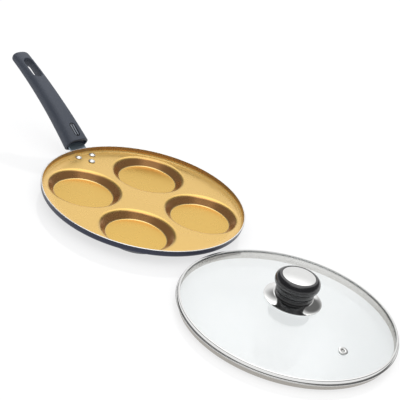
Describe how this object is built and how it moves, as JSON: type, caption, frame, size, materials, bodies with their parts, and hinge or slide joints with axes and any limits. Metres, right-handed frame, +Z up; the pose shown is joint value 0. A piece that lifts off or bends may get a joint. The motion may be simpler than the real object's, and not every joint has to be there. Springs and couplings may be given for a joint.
{
  "type": "egg pan",
  "caption": "Shallow egg pan with round egg cups pressed into its deck, a riveted moulded handle and a loose domed glass lid with knob, lying beside it.",
  "frame": {"origin": "middle of the outline of pan and lid side by side, on the surface that they stand on", "axes": "+X from the handle's tip across the pan to the lid, +Z up, +Y completes the right-handed set"},
  "size_m": [0.685, 0.26, 0.0851],
  "materials": {
    "pan_body": "pressed aluminium; satin gold-copper non-stick coating inside, bare turned metal on the rim, slate blue-grey coating outside",
    "handle_bracket": "pressed steel strip under the same slate blue-grey coating as the pan's outside",
    "rivets": "bare cold-headed aluminium, lightly polished",
    "handle_grip": "moulded charcoal phenolic, fine satin texture with soft gloss on the crests",
    "handle_inlay": "grey ribbed inlay, semi-gloss",
    "screws": "zinc-bright machine screws and washer",
    "lid_glass": "clear tempered glass, faint grey-green edge",
    "lid_rim": "rolled stainless band, satin skirt and polished lip",
    "polished_steel": "mirror-polished stainless steel",
    "knob_body": "black moulded phenolic, semi-gloss",
    "knob_insert": "turned brass",
    "gaskets": "translucent silicone"
  },
  "bodies": {
    "pan": {"pan_body": "pan_body", "handle_bracket": "handle_bracket", "rivet_inner": "rivets", "rivet_left": "rivets", "rivet_right": "rivets", "handle_grip": "handle_grip", "handle_inlay": "handle_inlay", "handle_screw": "screws"},
    "lid": {"lid_glass": "lid_glass", "lid_rim": "lid_rim", "vent_eyelet": "polished_steel", "knob_skirt": "polished_steel", "knob_body": "knob_body", "knob_cap": "polished_steel", "knob_insert": "knob_insert", "knob_screw": "screws", "knob_washer": "screws", "upper_gasket": "gaskets", "lower_gasket": "gaskets"}
  },
  "joints": [
    {"name": "lid_lift", "type": "slide", "parent": "pan", "child": "lid", "axis": [0, 0, 1], "range_m": [0, 0.15]}
  ]
}
